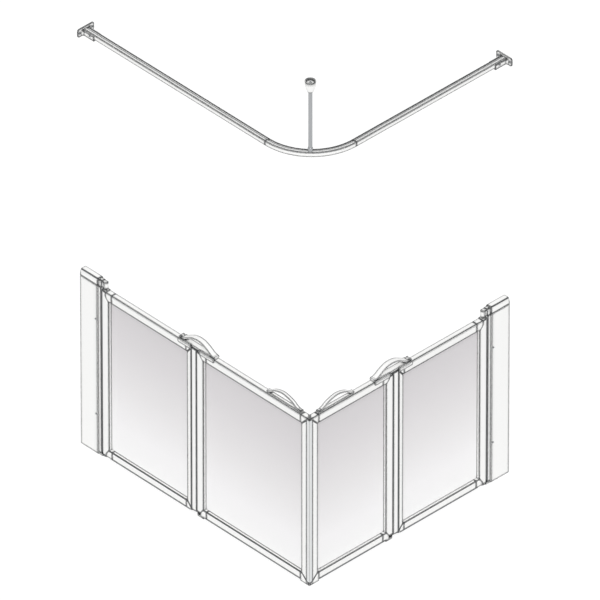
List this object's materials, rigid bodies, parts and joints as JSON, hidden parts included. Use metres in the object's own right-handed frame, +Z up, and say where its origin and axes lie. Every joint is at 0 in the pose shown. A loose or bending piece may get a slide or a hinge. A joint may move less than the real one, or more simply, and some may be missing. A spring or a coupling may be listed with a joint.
{
  "type": "half height shower screen",
  "caption": "Corner shower screen: folding half height doors with lifting lock handles along two walls, and a curtain rail with a ceiling rod above.",
  "frame": {"origin": "floor level on the left wall, in the plane of the left doors' outer faces", "axes": "+X along the left doors from the wall to the corner, +Y along the right doors from the corner to the right wall, +Z up"},
  "size_m": [1.2095, 1.0095, 2.16],
  "materials": {
    "white_frame": "satin white powder coat",
    "white_moulding": "semi-gloss white moulding",
    "frosted_pane": "frosted translucent sheet",
    "grey_seal": "matt flexible strip",
    "aluminium_channel": "mill finish",
    "steel_pin": "brushed",
    "steel_screw": "polished"
  },
  "bodies": {
    "frame": {"left_wall_channel": "aluminium_channel", "left_wall_cover": "white_frame", "left_hinge_post": "white_frame", "left_post_cap": "white_moulding", "left_pivot_blocks": "white_moulding", "right_wall_channel": "aluminium_channel", "right_wall_cover": "white_frame", "right_hinge_post": "white_frame", "right_post_cap": "white_moulding", "right_pivot_blocks": "white_moulding", "left_rail_arm": "white_frame", "right_rail_arm": "white_frame", "rail_bend": "white_frame", "rail_brackets": "white_moulding", "ceiling_rod": "white_frame", "ceiling_cup": "white_moulding", "cover_screws": "steel_screw", "bracket_screws": "steel_screw"},
    "left_wall_leaf": {"left_wall_leaf_hinge_stile": "white_frame", "left_wall_leaf_plain_stile": "white_frame", "left_wall_leaf_top_rail": "white_frame", "left_wall_leaf_bottom_rail": "white_frame", "left_wall_leaf_pane": "frosted_pane", "left_wall_leaf_bottom_seal": "grey_seal", "left_wall_leaf_corner_caps": "white_moulding", "left_lock_bracket": "white_moulding", "left_lock_pin": "steel_pin"},
    "left_fold_link": {"left_fold_link": "white_frame", "left_link_pins": "steel_pin"},
    "left_corner_leaf": {"left_corner_leaf_hinge_stile": "white_frame", "left_corner_leaf_plain_stile": "white_frame", "left_corner_leaf_top_rail": "white_frame", "left_corner_leaf_bottom_rail": "white_frame", "left_corner_leaf_pane": "frosted_pane", "left_corner_leaf_bottom_seal": "grey_seal", "left_corner_leaf_corner_caps": "white_moulding", "left_corner_seal": "grey_seal", "left_grab_handle": "white_moulding"},
    "left_lock": {"left_lock_handle": "white_moulding"},
    "right_wall_leaf": {"right_wall_leaf_hinge_stile": "white_frame", "right_wall_leaf_plain_stile": "white_frame", "right_wall_leaf_top_rail": "white_frame", "right_wall_leaf_bottom_rail": "white_frame", "right_wall_leaf_pane": "frosted_pane", "right_wall_leaf_bottom_seal": "grey_seal", "right_wall_leaf_corner_caps": "white_moulding", "right_lock_bracket": "white_moulding", "right_lock_pin": "steel_pin"},
    "right_fold_link": {"right_fold_link": "white_frame", "right_link_pins": "steel_pin"},
    "right_corner_leaf": {"right_corner_leaf_hinge_stile": "white_frame", "right_corner_leaf_plain_stile": "white_frame", "right_corner_leaf_top_rail": "white_frame", "right_corner_leaf_bottom_rail": "white_frame", "right_corner_leaf_pane": "frosted_pane", "right_corner_leaf_bottom_seal": "grey_seal", "right_corner_leaf_corner_caps": "white_moulding", "right_corner_seal": "grey_seal", "right_grab_handle": "white_moulding"},
    "right_lock": {"right_lock_handle": "white_moulding"}
  },
  "joints": [
    {"name": "left_swing", "type": "hinge", "parent": "frame", "child": "left_wall_leaf", "pos_m": [0.121, 0.013, 0], "axis": [0, 0, 1], "range_deg": [-90, 0]},
    {"name": "left_link_fold", "type": "hinge", "parent": "left_wall_leaf", "child": "left_fold_link", "pos_m": [0.591, 0.013, 0], "axis": [0, 0, 1], "range_deg": [0, 81]},
    {"name": "left_leaf_fold", "type": "hinge", "parent": "left_fold_link", "child": "left_corner_leaf", "pos_m": [0.618, 0.013, 0], "axis": [0, 0, 1], "range_deg": [0, 81]},
    {"name": "left_lock_lift", "type": "hinge", "parent": "left_wall_leaf", "child": "left_lock", "pos_m": [0.521, 0.013, 0.758], "axis": [0, -1, 0], "range_deg": [0, 75]},
    {"name": "right_swing", "type": "hinge", "parent": "frame", "child": "right_wall_leaf", "pos_m": [1.187, 0.879, 0], "axis": [0, 0, 1], "range_deg": [0, 90]},
    {"name": "right_link_fold", "type": "hinge", "parent": "right_wall_leaf", "child": "right_fold_link", "pos_m": [1.187, 0.437, 0], "axis": [0, 0, 1], "range_deg": [-89, 0]},
    {"name": "right_leaf_fold", "type": "hinge", "parent": "right_fold_link", "child": "right_corner_leaf", "pos_m": [1.187, 0.41, 0], "axis": [0, 0, 1], "range_deg": [-89, 0]},
    {"name": "right_lock_lift", "type": "hinge", "parent": "right_wall_leaf", "child": "right_lock", "pos_m": [1.187, 0.507, 0.758], "axis": [-1, 0, 0], "range_deg": [0, 75]}
  ],
  "couplings": [
    {"joint": "left_link_fold", "follows": "left_swing", "ratio": -0.89},
    {"joint": "left_leaf_fold", "follows": "left_swing", "ratio": -0.89},
    {"joint": "right_link_fold", "follows": "right_swing", "ratio": -0.98},
    {"joint": "right_leaf_fold", "follows": "right_swing", "ratio": -0.98}
  ]
}
